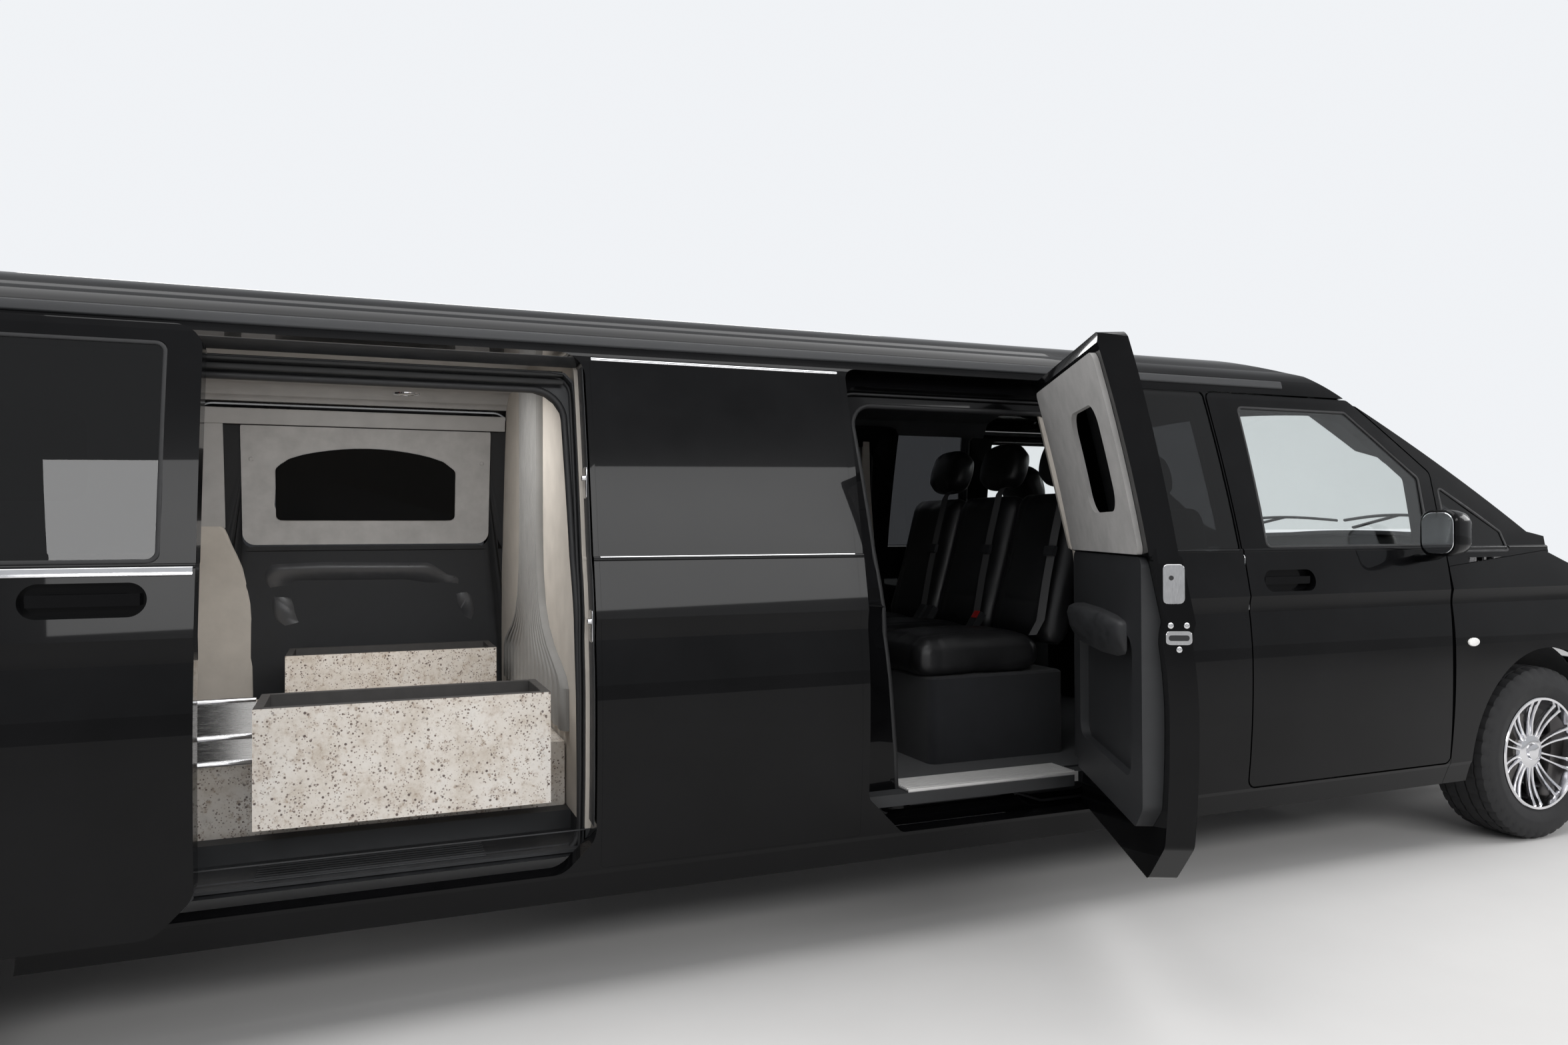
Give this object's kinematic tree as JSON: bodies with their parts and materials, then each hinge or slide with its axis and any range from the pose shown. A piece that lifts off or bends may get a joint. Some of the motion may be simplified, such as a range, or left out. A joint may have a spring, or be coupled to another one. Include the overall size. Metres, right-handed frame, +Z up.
{
  "type": "hearse",
  "caption": "Long black hearse with side doors, an open passenger door, a slid-back side door, a rear bench, a casket deck with rails and pull-out flower trays.",
  "frame": {"origin": "on the ground, on the centreline, at half the length of the body", "axes": "+X forward, +Y to the vehicle's left, +Z up"},
  "size_m": [7.3618, 2.8286, 1.8969],
  "materials": {
    "black_paint": "gloss black",
    "clear_glass": "clear",
    "tinted_glass": "dark tint",
    "tyre_rubber": "matt rubber",
    "polished_alloy": "polished",
    "lamp_lens": "clear lens",
    "red_lens": "red lens",
    "bright_trim": "bright",
    "dark_plastic": "grained",
    "black_leather": "black leather",
    "beige_lining": "beige lining",
    "grey_lining": "light grey lining",
    "granite_board": "granite look",
    "chrome_rail": "chrome",
    "floor_steel": "satin black",
    "chassis_black": "black",
    "cast_knuckle": "cast",
    "exhaust_steel": "dull steel"
  },
  "bodies": {
    "body_shell": {"casket_deck": "granite_board", "compartment_lining": "grey_lining", "dashboard": "dark_plastic", "deck_rails": "chrome_rail", "driveline": "chassis_black", "engine_block": "cast_knuckle", "exhaust": "exhaust_steel", "floor_pan": "floor_steel", "front_bumper": "black_paint", "front_seats": "black_leather", "front_structure": "floor_steel", "front_subframe": "chassis_black", "front_wings": "black_paint", "fuel_tank": "dark_plastic", "grille": "bright_trim", "headlamps": "lamp_lens", "mid_panels": "black_paint", "partition": "beige_lining", "rear_axle": "chassis_black", "rear_bench": "black_leather", "rear_bumper": "black_paint", "roof": "black_paint", "side_frame_left": "black_paint", "side_frame_right": "black_paint", "side_glass": "tinted_glass", "sliding_door_left": "black_paint", "sliding_door_right": "black_paint", "sliding_trims": "grey_lining", "step_wells": "dark_plastic", "tail_lamps": "red_lens", "windscreen": "clear_glass"},
    "front_door_l": {"front_door_left": "black_paint", "front_glass_left": "clear_glass", "mirror_left": "black_paint"},
    "front_door_r": {"front_door_right": "black_paint", "front_glass_right": "clear_glass", "mirror_right": "black_paint"},
    "rear_door_l": {"rear_door_left": "black_paint", "rear_glass_left": "tinted_glass", "rear_trim_left": "grey_lining"},
    "rear_door_r": {"rear_door_right": "black_paint", "rear_glass_right": "tinted_glass", "rear_trim_right": "grey_lining"},
    "bonnet_lid": {"bonnet": "black_paint"},
    "tailgate_lid": {"tailgate": "black_paint", "tailgate_glass": "tinted_glass"},
    "knuckle_l": {"knuckle_left": "cast_knuckle"},
    "knuckle_r": {"knuckle_right": "cast_knuckle"},
    "wheel_fl": {"tyre_front_left": "tyre_rubber", "rim_front_left": "polished_alloy"},
    "wheel_fr": {"tyre_front_right": "tyre_rubber", "rim_front_right": "polished_alloy"},
    "wheel_rl": {"tyre_rear_left": "tyre_rubber", "rim_rear_left": "polished_alloy"},
    "wheel_rr": {"tyre_rear_right": "tyre_rubber", "rim_rear_right": "polished_alloy"},
    "tray_l": {"flower_tray_left": "granite_board"},
    "tray_r": {"flower_tray_right": "granite_board"},
    "steering": {"steering_wheel": "dark_plastic"}
  },
  "joints": [
    {"name": "front_door_left", "type": "hinge", "parent": "body_shell", "child": "front_door_l", "pos_m": [2.1855, 0.926, 0.7], "axis": [0, 0, -1], "range_deg": [0, 65]},
    {"name": "front_door_right", "type": "hinge", "parent": "body_shell", "child": "front_door_r", "pos_m": [2.1855, -0.926, 0.7], "axis": [0, 0, 1], "range_deg": [0, 65]},
    {"name": "rear_door_left", "type": "hinge", "parent": "body_shell", "child": "rear_door_l", "pos_m": [0.6655, 0.926, 0.7], "axis": [0, 0, -1], "range_deg": [0, 70]},
    {"name": "rear_door_right", "type": "hinge", "parent": "body_shell", "child": "rear_door_r", "pos_m": [0.6655, -0.926, 0.7], "axis": [0, 0, 1], "range_deg": [-64, 6]},
    {"name": "bonnet", "type": "hinge", "parent": "body_shell", "child": "bonnet_lid", "pos_m": [2.9755, 0, 1.158], "axis": [0, -1, 0], "range_deg": [0, 50]},
    {"name": "tailgate", "type": "hinge", "parent": "body_shell", "child": "tailgate_lid", "pos_m": [-3.4925, 0, 1.73], "axis": [0, 1, 0], "range_deg": [0, 85]},
    {"name": "steer_left", "type": "hinge", "parent": "body_shell", "child": "knuckle_l", "pos_m": [2.7855, 0.745, 0.215], "axis": [0, -0.2406, 0.9706], "range_deg": [-33, 33]},
    {"name": "steer_right", "type": "hinge", "parent": "body_shell", "child": "knuckle_r", "pos_m": [2.7855, -0.745, 0.215], "axis": [0, 0.2406, 0.9706], "range_deg": [-33, 33]},
    {"name": "steering_wheel", "type": "hinge", "parent": "body_shell", "child": "steering", "pos_m": [1.9555, 0.4, 1.01], "axis": [-0.867, 0, 0.4983], "range_deg": [-530, 530]},
    {"name": "wheel_front_left", "type": "hinge", "parent": "knuckle_l", "child": "wheel_fl", "pos_m": [2.7855, 0.828, 0.3395], "axis": [0, 1, 0], "continuous": true},
    {"name": "wheel_front_right", "type": "hinge", "parent": "knuckle_r", "child": "wheel_fr", "pos_m": [2.7855, -0.828, 0.3395], "axis": [0, 1, 0], "continuous": true},
    {"name": "wheel_rear_left", "type": "hinge", "parent": "body_shell", "child": "wheel_rl", "pos_m": [-2.6345, 0.828, 0.3395], "axis": [0, 1, 0], "continuous": true},
    {"name": "wheel_rear_right", "type": "hinge", "parent": "body_shell", "child": "wheel_rr", "pos_m": [-2.6345, -0.828, 0.3395], "axis": [0, 1, 0], "continuous": true},
    {"name": "tray_left", "type": "slide", "parent": "body_shell", "child": "tray_l", "axis": [0, 1, 0], "range_m": [0, 0.238]},
    {"name": "tray_right", "type": "slide", "parent": "body_shell", "child": "tray_r", "axis": [0, -1, 0], "range_m": [-0.238, 0]}
  ],
  "couplings": [
    {"joint": "steer_right", "follows": "steer_left", "ratio": 1},
    {"joint": "steering_wheel", "follows": "steer_left", "ratio": 16}
  ]
}
